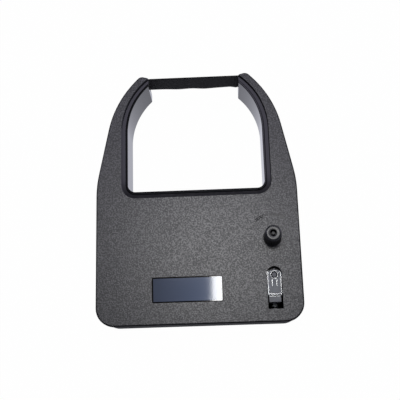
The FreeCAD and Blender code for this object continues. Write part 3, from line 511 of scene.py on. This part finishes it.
# the ribbon is one endless band of cloth that follows the rollers, pins and folds. Each wave of
# its lower edge is its middle, its width, how far it leans and how far it lifts
ribbonSize = {
    "height": 13.0, "bottom": 4.4, "cloth": 0.13, "rows": 10, "step": 1.3, "turnStep": 0.35,
    "wideTurn": 5.0, "freeEnd": 1.0, "calm": 2.0, "fall": 1.5, "waves": (
        (5.0, 4.6, 0.6, 0.2), (-8.0, 5.0, 0.4, 0.12), (21.0, 1.6, 0.7, 0.25),
        (12.0, 5.0, 0.25, 0.1)),
}
ribbonTurns = {
    "tipPin": (24.9, 119.25, 1.15), "arch": (0.0, 92.2, 34.45), "drive": (driveX, 38.4, 9.0),
    "entry": (19.0, 30.9, 1.5), "guide": (-40.0, 60.0, 2.95),
}
foldSize = {
    "pitch": 2.0, "count": 28, "rear": 6.6, "front": 53.2, "right": 17.5, "uneven": 1.1,
    "drift": 2.4,
}


def ribbonCircles():
    # x, y, radius and turn, which is 1 to the left and -1 to the right
    pinX, pinY, pinRadius = ribbonTurns["tipPin"]
    circles = [(-pinX, pinY, pinRadius, -1), (pinX, pinY, pinRadius, -1)]
    circles += [ribbonTurns[name] + (-1,) for name in ("arch", "drive", "entry")]
    radius = foldSize["pitch"] / 2
    for k in range(foldSize["count"]):
        x = foldSize["right"] - (k + 0.5) * foldSize["pitch"]
        uneven = foldSize["uneven"] * math.sin(foldSize["drift"] * k)
        if k % 2 == 0:
            circles.append((x, foldSize["front"] - radius + uneven, radius, 1))
        else:
            circles.append((x, foldSize["rear"] + radius - uneven, radius, -1))
    return circles + [ribbonTurns["guide"] + (-1,), ribbonTurns["arch"] + (-1,)]


def ribbonPath():
    # the closed line through all the turns, as (x, y) points in mm
    circles = ribbonCircles()
    leave, arrive = [], []
    for i, (x1, y1, radius1, turn1) in enumerate(circles):
        x2, y2, radius2, turn2 = circles[(i + 1) % len(circles)]
        reach1, reach2 = turn1 * radius1, turn2 * radius2
        distance = math.hypot(x2 - x1, y2 - y1)
        heading = math.atan2(y2 - y1, x2 - x1) - math.asin((reach2 - reach1) / distance)
        side = Vector((-math.sin(heading), math.cos(heading)))
        leave.append(Vector((x1, y1)) - side * reach1)
        arrive.append(Vector((x2, y2)) - side * reach2)
    path = []
    for i, (x, y, radius, turn) in enumerate(circles):
        start, end = arrive[i - 1], leave[i]
        first = math.atan2(start.y - y, start.x - x)
        sweep = (math.atan2(end.y - y, end.x - x) - first) * turn % math.tau * turn
        wide = radius > ribbonSize["wideTurn"]
        step = ribbonSize["step" if wide else "turnStep"]
        pieces = max(4 if wide else 3, round(abs(sweep) * radius / step))
        for k in range(pieces):
            angle = first + sweep * k / pieces
            path.append((x + radius * math.cos(angle), y + radius * math.sin(angle)))
        run = (arrive[i] - end).length
        pieces = max(1, round(run / ribbonSize["step"]))
        path += [tuple(end.lerp(arrive[i], k / pieces)) for k in range(pieces)]
    return path


def edgeWave(x, y, share):
    # the shallow waves of the bare stretch between the tips, which fade out towards its top edge
    s = ribbonSize
    pinX, pinY, pinRadius = ribbonTurns["tipPin"]
    lean, lift = 0.0, 0.0
    free = pinX - s["freeEnd"] - abs(x)
    if free > 0 and y > pinY:
        low = (1.0 - share) ** s["fall"] * min(1.0, free / s["calm"])
        for middle, wide, deep, high in s["waves"]:
            swell = low * math.exp(-((x - middle) / wide) ** 2)
            lean -= deep * swell
            lift += high * swell
    return lean, lift


def makeRibbon():
    path = ribbonPath()
    rows = ribbonSize["rows"]
    height = ribbonSize["height"]
    points, places, along = [], [], 0.0
    for i, (x, y) in enumerate(path):
        for row in range(rows + 1):
            up = height * row / rows
            lean, lift = edgeWave(x, y, row / rows)
            points.append(at(x, y + lean, ribbonSize["bottom"] + up + lift))
            places.append((along, up))
        after = path[(i + 1) % len(path)]
        along += math.hypot(after[0] - x, after[1] - y)
    faces, uvs = [], []
    count = len(path)
    for i in range(count):
        for row in range(rows):
            a = i * (rows + 1) + row
            b = (i + 1) % count * (rows + 1) + row
            faces.append((a, a + 1, b + 1, b))
            end = along if i == count - 1 else places[b][0]
            low = places[b][1]
            uvs += [places[a], places[a + 1], (end, low + height / rows), (end, low)]
    piece = meshPiece("ribbonBand", points, faces, inked)
    layer = piece.data.uv_layers.new(name="cloth")
    for loop, uv in zip(layer.data, uvs):
        loop.uv = uv
    thick = piece.modifiers.new("clothThickness", "SOLIDIFY")
    thick.thickness = ribbonSize["cloth"] * mm
    thick.offset = 0.0
    return applied(piece), along


print("making the ribbon")
ribbon, ribbonLength = makeRibbon()
print("ribbon length in mm", round(ribbonLength, 1))
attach(ribbon, bodyOf("ribbon"))
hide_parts("ribbon")


# the knob is turned from its profile, then fluted
knobSize = {
    "x": driveX, "y": 38.4, "bottom": 20.35, "height": 9.3, "radius": 4.2, "topRadius": 3.72,
    "ring": 2.95, "hole": 1.45, "bore": 2.02, "boreTop": 6.4, "bevel": 0.6, "flutes": 24,
    "depth": 0.3, "fluteTop": 7.9, "inner": 3.4, "fadeOut": 0.5, "valley": 0.6, "edge": 0.14,
    "segments": 384, "wallRows": 14, "tall": 2.0,
}


def roundedProfile(corners, steps=3):
    # corners are (radius, height, rounding), and a rounding of 0 stays sharp
    line = []
    count = len(corners)
    for i, (r, z, soft) in enumerate(corners):
        here = Vector((r, z))
        if soft <= 0:
            line.append(here)
            continue
        back = (Vector(corners[i - 1][:2]) - here).normalized()
        ahead = (Vector(corners[(i + 1) % count][:2]) - here).normalized()
        half = back.angle(ahead) / 2
        reach = soft / math.tan(half)
        centre = here + (back + ahead).normalized() * (soft / math.sin(half))
        start = (here + back * reach - centre).normalized()
        end = (here + ahead * reach - centre).normalized()
        line += [centre + start.slerp(end, k / steps) * soft for k in range(steps + 1)]
    return line


def lathe(name, profile, x, y, bottom, segments, material):
    # profile points are (radius, height) in mm round a closed loop
    points, faces = [], []
    for i in range(segments):
        angle = math.tau * i / segments
        for p in profile:
            points.append(at(
                x + p.x * math.cos(angle), y + p.x * math.sin(angle), bottom + p.y))
    count = len(profile)
    for i in range(segments):
        for k in range(count):
            a, b = i * count, (i + 1) % segments * count
            faces.append((a + k, b + k, b + (k + 1) % count, a + (k + 1) % count))
    return meshPiece(name, points, faces, material)


def makeFluteTree():
    # pushes the wall in along evenly spaced flutes that end below the top
    tree, given = newTree("knobFlutes", {
        "Axis": "Vector", "Flutes": "Float", "Depth": "Float", "Inner": "Float", "Top": "Float",
        "Fade": "Float", "Valley": "Float", "Material": "Material"})
    place = addNode(tree, "GeometryNodeInputPosition")
    spoke = calcVector(tree, "SUBTRACT", place, (given, "Axis"))
    flat = calcVector(tree, "MULTIPLY", spoke, (1.0, 1.0, 0.0))
    parts = split(tree, spoke)
    angle = calc(tree, "ARCTAN2", (parts, "Y"), (parts, "X"))
    wave = calc(tree, "COSINE", calc(tree, "MULTIPLY", angle, (given, "Flutes")))
    valley = calc(tree, "POWER", calc(tree, "MAXIMUM", wave, 0.0), (given, "Valley"))
    below = calc(tree, "SUBTRACT", (given, "Top"), (parts, "Z"))
    share = calc(tree, "DIVIDE", below, (given, "Fade"))
    held = addNode(tree, "ShaderNodeClamp", {"Value": share})
    radius = calcVector(tree, "LENGTH", flat)
    outside = calc(tree, "GREATER_THAN", (radius, "Value"), (given, "Inner"))
    push = calc(tree, "MULTIPLY", valley, (given, "Depth"))
    push = calc(tree, "MULTIPLY", calc(tree, "MULTIPLY", push, held), outside)
    inwards = calc(tree, "MULTIPLY", push, -1.0)
    way = calcVector(tree, "NORMALIZE", flat)
    move = addNode(tree, "ShaderNodeVectorMath", {0: way, "Scale": inwards}, operation="SCALE")
    fluted = addNode(tree, "GeometryNodeSetPosition", {"Geometry": given, "Offset": move})
    endTree(tree, fluted, given)
    return tree


def makeKnob():
    s = knobSize
    outer = roundedProfile([
        (s["bore"], 0.0, s["edge"]), (s["radius"], 0.0, s["edge"]),
        (s["topRadius"], s["height"] - s["bevel"], s["edge"] * 2),
        (s["ring"], s["height"], s["edge"]), (s["hole"], s["height"], s["edge"]),
        (s["hole"], s["boreTop"], 0.0), (s["bore"], s["boreTop"], 0.0)])
    profile = []
    for i, p in enumerate(outer):
        profile.append(p)
        after = outer[(i + 1) % len(outer)]
        # the tall outer wall gets rows of its own, so that the flutes can end in it
        if p.x > s["topRadius"] and after.x > s["ring"] and after.y - p.y > s["tall"]:
            profile += [p.lerp(after, k / s["wallRows"]) for k in range(1, s["wallRows"])]
    piece = lathe("feedKnob", profile, s["x"], s["y"], s["bottom"], s["segments"], satin)
    useTree(piece, makeFluteTree(), {
        "Axis": at(s["x"], s["y"], s["bottom"]), "Flutes": float(s["flutes"]),
        "Depth": s["depth"] * mm, "Inner": s["inner"] * mm, "Top": s["fluteTop"] * mm,
        "Fade": s["fadeOut"] * mm, "Valley": s["valley"], "Material": satin})
    return applied(piece)


print("making the knob")
knob = makeKnob()
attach(knob, bodyOf("drive_knob"))
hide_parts("drive_knob")


# the coil spring behind the release slide
springSize = {
    "x": driveX, "z": 12.6, "rear": 2.5, "front": 9.1, "radius": 1.65, "wire": 0.35,
    "turns": 5.5, "turnPoints": 28, "wirePoints": 12,
}


def makeSpring():
    s = springSize
    tree, given = newTree("coilSpring", {
        "Turns": "Float", "Radius": "Float", "Length": "Float", "Wire": "Float",
        "Material": "Material"})
    coil = addNode(tree, "GeometryNodeCurveSpiral", {
        "Resolution": s["turnPoints"], "Rotations": (given, "Turns"),
        "Start Radius": (given, "Radius"), "End Radius": (given, "Radius"),
        "Height": (given, "Length")})
    ring = addNode(tree, "GeometryNodeCurvePrimitiveCircle", {
        "Resolution": s["wirePoints"], "Radius": (given, "Wire")})
    bent = addNode(tree, "GeometryNodeCurveToMesh", {
        "Curve": coil, "Profile Curve": (ring, "Curve"), "Fill Caps": True})
    laid = addNode(tree, "GeometryNodeTransform", {
        "Geometry": bent, "Rotation": (-math.pi / 2, 0.0, 0.0),
        "Translation": at(s["x"], s["rear"] + s["wire"] / 2, s["z"])})
    endTree(tree, laid, given)
    piece = newPiece("slideSpring", bpy.data.meshes.new("slideSpring"))
    useTree(piece, tree, {
        "Turns": s["turns"], "Radius": s["radius"] * mm,
        "Length": (s["front"] - s["rear"] - s["wire"]) * mm, "Wire": s["wire"] / 2 * mm,
        "Material": springSteel})
    applied(piece)
    piece.data.polygons.foreach_set("use_smooth", [True] * len(piece.data.polygons))
    return piece


print("making the spring")
spring = makeSpring()
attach(spring, bodyOf("slide_spring"))
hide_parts("slide_spring")
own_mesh(spring)


# the clear slide is the frame's shape with its edges broken, as polished mouldings have
slideSize = {
    "edge": 0.1, "segments": 2, "profile": 0.6, "flat": 0.03, "crease": 0.5, "level": 0.95,
}


def makeSlide():
    s = slideSize
    mesh = nodes["idler_slide"].data.copy()
    mesh.name = "releaseSlide"
    mesh.materials.clear()
    mesh.materials.append(clear)
    mesh.materials.append(paintedEdgeHighlight)
    work = bmesh.new()
    work.from_mesh(mesh)
    bmesh.ops.remove_doubles(work, verts=work.verts, dist=2 * weld)
    bmesh.ops.dissolve_limit(
        work, angle_limit=s["flat"], verts=work.verts, edges=work.edges)
    steep = [
        e for e in work.edges if len(e.link_faces) == 2 and e.calc_face_angle(0.0) > s["crease"]]
    bmesh.ops.bevel(
        work, geom=steep, offset=s["edge"] * mm, segments=s["segments"], profile=s["profile"],
        affect="EDGES", clamp_overlap=True)
    work.normal_update()
    # the faces that are not level take the near white finish as a painted highlight
    for face in work.faces:
        face.material_index = int(abs(face.normal.z) < s["level"])
    work.to_mesh(mesh)
    work.free()
    return newPiece("releaseSlide", mesh, False)


print("making the slide")
slide = makeSlide()
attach(slide, bodyOf("idler_slide"))
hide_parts("idler_slide")


# the idler's axle is a cropped pin with a turned chamfer, painted dark as the shade of the gap
# round it
axleSize = {
    "x": driveX, "y": 21.3, "foot": 0.1, "chamfer": 0.45, "segments": 64, "steep": 0.2,
    "level": 0.95,
}


def makeAxle():
    s = axleSize
    low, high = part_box("idler_pin")
    radius, height = (high.x - low.x) / 2 / mm, (high.z - low.z) / mm
    profile = [Vector(p) for p in (
        (0.0, 0.0), (radius - s["foot"], 0.0), (radius, s["foot"]),
        (radius, height - s["chamfer"]), (radius - s["chamfer"], height), (0.0, height))]
    piece = lathe("idlerAxle", profile, s["x"], s["y"], low.z / mm, s["segments"], pinSteel)
    piece.data.materials.append(paintedShadeSteel)
    work = bmesh.new()
    work.from_mesh(piece.data)
    bmesh.ops.remove_doubles(work, verts=work.verts, dist=weld)
    bmesh.ops.recalc_face_normals(work, faces=work.faces)
    for face in work.faces:
        # the sloping chamfer faces take the dark steel as painted shade
        face.material_index = int(s["steep"] < face.normal.z < s["level"])
    work.to_mesh(piece.data)
    work.free()
    piece.data.polygons.foreach_set("use_smooth", [False] * len(piece.data.polygons))
    return piece


print("making the axle")
axle = makeAxle()
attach(axle, bodyOf("idler_pin"))
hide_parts("idler_pin")


# the ribbon brake's felt is a punched block with soft edges
feltSize = {"edge": 0.25, "segments": 3, "flat": 0.02, "fill": 0.9}


def makeFelt():
    s = feltSize
    mesh = nodes["brake_pad"].data.copy()
    mesh.name = "brakeFelt"
    mesh.materials.clear()
    mesh.materials.append(feltWool)
    work = bmesh.new()
    work.from_mesh(mesh)
    bmesh.ops.remove_doubles(work, verts=work.verts, dist=weld)
    bmesh.ops.dissolve_limit(work, angle_limit=s["flat"], verts=work.verts, edges=work.edges)
    bmesh.ops.bevel(
        work, geom=list(work.edges), offset=s["edge"] * mm, segments=s["segments"], profile=0.5,
        affect="EDGES")
    bmesh.ops.subdivide_edges(work, edges=work.edges, cuts=1, use_grid_fill=True)
    work.to_mesh(mesh)
    work.free()
    return newPiece("brakeFelt", mesh)


print("making the felt")
felt = makeFelt()
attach(felt, bodyOf("brake_pad"))
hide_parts("brake_pad")


print("setting the stage")
floorLook = {
    "half": 3, "grey": (0.85, 0.85, 0.85, 1.0), "share": 0.99, "mirrored": 0.8,
    "mirrorTint": (0.88, 0.89, 1.0, 1.0),
}


def makeFloor():
    # white to the camera and paler in reflections. The rest is a real floor that takes the shadow
    s = floorLook
    material = bpy.data.materials.new("paleFloor")
    material.use_nodes = True
    tree = material.node_tree
    shade = addNode(tree, "ShaderNodeBsdfDiffuse", {"Color": s["grey"]})
    seen = addNode(tree, "ShaderNodeLightPath")
    both = calc(tree, "MAXIMUM", (seen, "Is Glossy Ray"), (seen, "Is Transmission Ray"))
    direct = calc(tree, "MULTIPLY", (seen, "Is Camera Ray"), s["share"])
    much = calc(tree, "MAXIMUM", direct, calc(tree, "MULTIPLY", both, s["mirrored"]))
    tint = addNode(tree, "ShaderNodeMix", {
        "Factor": (seen, "Is Glossy Ray"), "A": white, "B": s["mirrorTint"]}, data_type="RGBA")
    glow = addNode(tree, "ShaderNodeEmission", {"Color": (tint, "Result"), "Strength": 1.0})
    mixed = addNode(tree, "ShaderNodeMixShader", {0: much, 1: shade, 2: glow})
    wire(tree, mixed, 0, tree.nodes["Material Output"], "Surface")
    half = s["half"]
    corners = [(-half, -half, 0), (half, -half, 0), (half, half, 0), (-half, half, 0)]
    meshPiece("floor", corners, [(0, 1, 2, 3)], material)


# grey by height, and by distance in front for the far end of the ceiling, which starts 15
# degrees from straight up
worldLook = {
    "wall": ((0.0, "#7F8290"), (0.5, "#7A7C88"), (0.9, "#5E5F66"), (1.0, "#4C4C50")),
    "far": ((0.27, 0.0), (0.285, 1.0), (0.55, 1.0), (0.7, 0.0)),
    "farLight": (0.86, 0.83, 1.05, 1.0),
}


def makeWorld():
    # pale all round, dim overhead, bright beyond the arms, and white wherever the camera sees it
    world = bpy.data.worlds.new("paleStudio")
    bpy.context.scene.world = world
    world.use_nodes = True
    tree = world.node_tree
    way = split(tree, (addNode(tree, "ShaderNodeTexCoord"), "Generated"))
    wall = setRamp(tree, (way, "Z"), [(place, linear(grey)) for place, grey in worldLook["wall"]])
    far = setRamp(tree, (way, "Y"), worldLook["far"])
    lit = addNode(tree, "ShaderNodeMix", {
        "Factor": far, "A": (wall, "Color"), "B": worldLook["farLight"]}, data_type="RGBA")
    seen = addNode(tree, "ShaderNodeLightPath")
    colour = addNode(tree, "ShaderNodeMix", {
        "Factor": (seen, "Is Camera Ray"), "A": (lit, "Result"), "B": white}, data_type="RGBA")
    wire(tree, colour, "Result", tree.nodes["Background"], "Color")


# place and size in metres, power in watts. Each lamp hangs level and faces straight down
lamps = {
    "overheadPanel": {"place": (-0.01, 0.18, 1.0), "size": (0.16, 0.09), "power": 1.15},
    "glarePanel": {"place": (0.016, 0.09, 1.0), "size": (0.052, 0.09), "power": 0.24},
    "slidePanel": {"place": (0.101, 0.102, 1.0), "size": (0.05, 0.06), "power": 0.15},
}


def makeLamp(name, place, size, power):
    lamp = bpy.data.lights.new(name, "AREA")
    lamp.shape = "RECTANGLE"
    lamp.size, lamp.size_y = size
    lamp.energy = power
    holder = bpy.data.objects.new(name, lamp)
    bpy.context.scene.collection.objects.link(holder)
    holder.location = place


# the photograph's viewpoint, above the rear edge and looking steeply down, fitted to its edges
viewpoint = {
    "place": (0.011452, -0.091653, 0.352888), "right": (0.99891, -0.02837, -0.03711),
    "up": (0.03694, 0.96596, 0.25603), "back": (0.02858, -0.25712, 0.96596), "lens": 66.6,
    "sensor": 36.0, "clip": 0.01,
}


def makeCamera():
    s = viewpoint
    lens = bpy.data.cameras.new("camera")
    lens.lens = s["lens"]
    lens.sensor_width = s["sensor"]
    lens.clip_start = s["clip"]
    camera = bpy.data.objects.new("camera", lens)
    bpy.context.scene.collection.objects.link(camera)
    turn = Matrix((s["right"], s["up"], s["back"])).transposed().to_4x4()
    camera.matrix_world = Matrix.Translation(s["place"]) @ turn
    bpy.context.scene.camera = camera


makeFloor()
makeWorld()
for name, lamp in lamps.items():
    makeLamp(name, **lamp)
makeCamera()
bpy.context.scene.view_settings.view_transform = "Standard"
